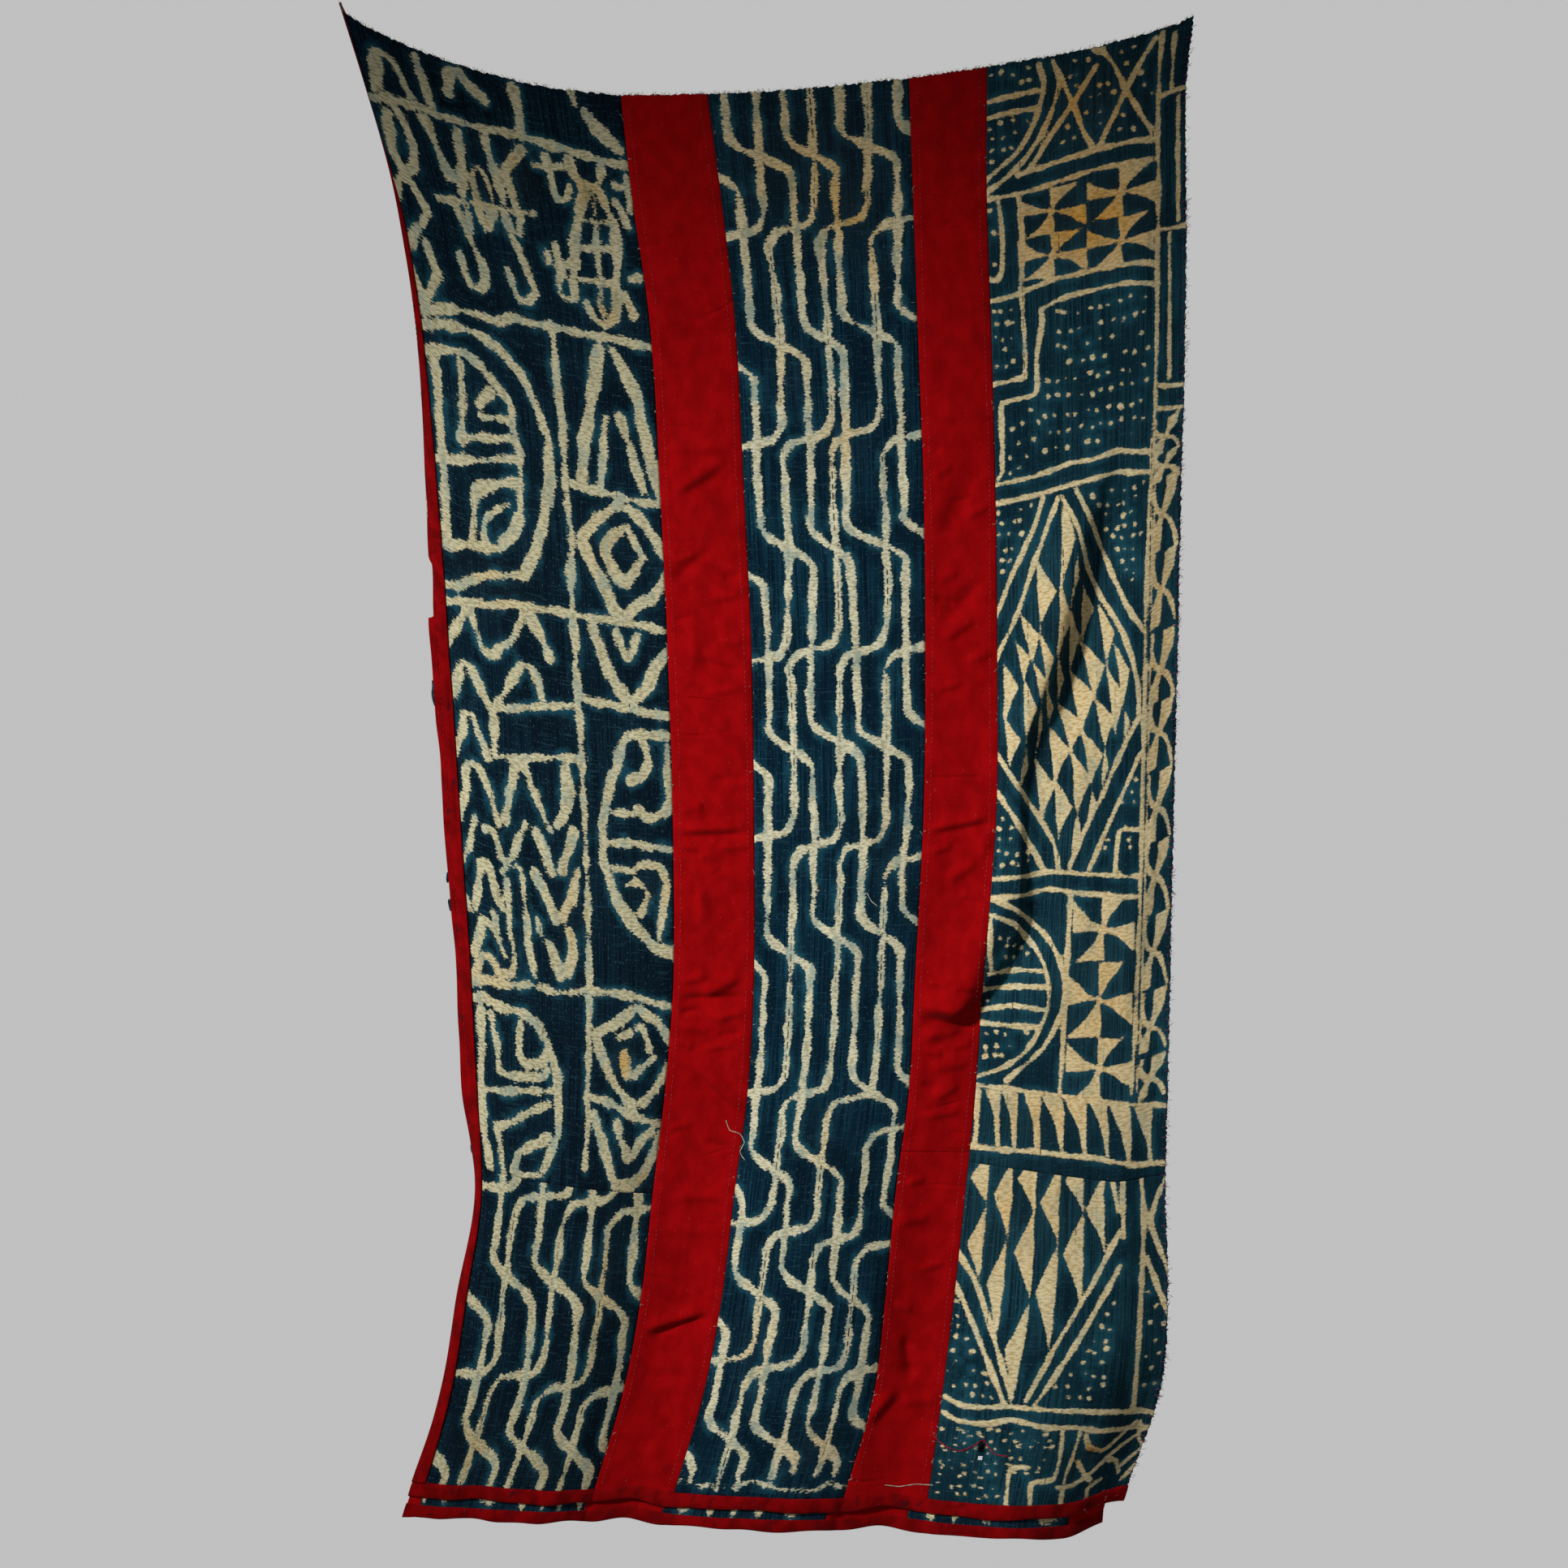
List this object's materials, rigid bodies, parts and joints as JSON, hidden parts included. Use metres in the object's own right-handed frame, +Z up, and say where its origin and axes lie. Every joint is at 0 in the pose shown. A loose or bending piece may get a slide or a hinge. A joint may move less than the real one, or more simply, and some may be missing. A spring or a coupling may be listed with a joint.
{
  "type": "ndop cloth wall hanging",
  "caption": "Hanging ndop cloth: indigo resist-dyed cotton panels with red strips sewn between, red side binding and red hem, held by its top corners.",
  "frame": {"origin": "middle of the top edge, halfway between the two held corners", "axes": "+X to the cloth's right as seen from the front, +Z up, the front faces -Y"},
  "size_m": [1.011, 0.0712, 1.8146],
  "materials": {
    "indigo_left": "coarse handwoven indigo cotton with bold cream resist figures",
    "indigo_middle": "coarse handwoven indigo cotton with cream wave lines",
    "indigo_right": "handwoven indigo cotton with fine golden resist lines and dots",
    "red_cloth": "plain red cotton, slightly felted, topstitched",
    "red_binding": "folded plain red cotton"
  },
  "bodies": {
    "root": {"binding_left": "red_binding", "panel_left_upper": "indigo_left", "panel_left_lower": "indigo_left", "strip_left": "red_cloth", "panel_middle": "indigo_middle", "strip_right_upper": "red_cloth", "strip_right_lower": "red_cloth", "panel_right_upper": "indigo_right", "panel_right_lower": "indigo_right", "hem_band": "red_binding", "hem_tail": "indigo_middle", "hem_tail_binding": "red_binding"}
  },
  "joints": []
}
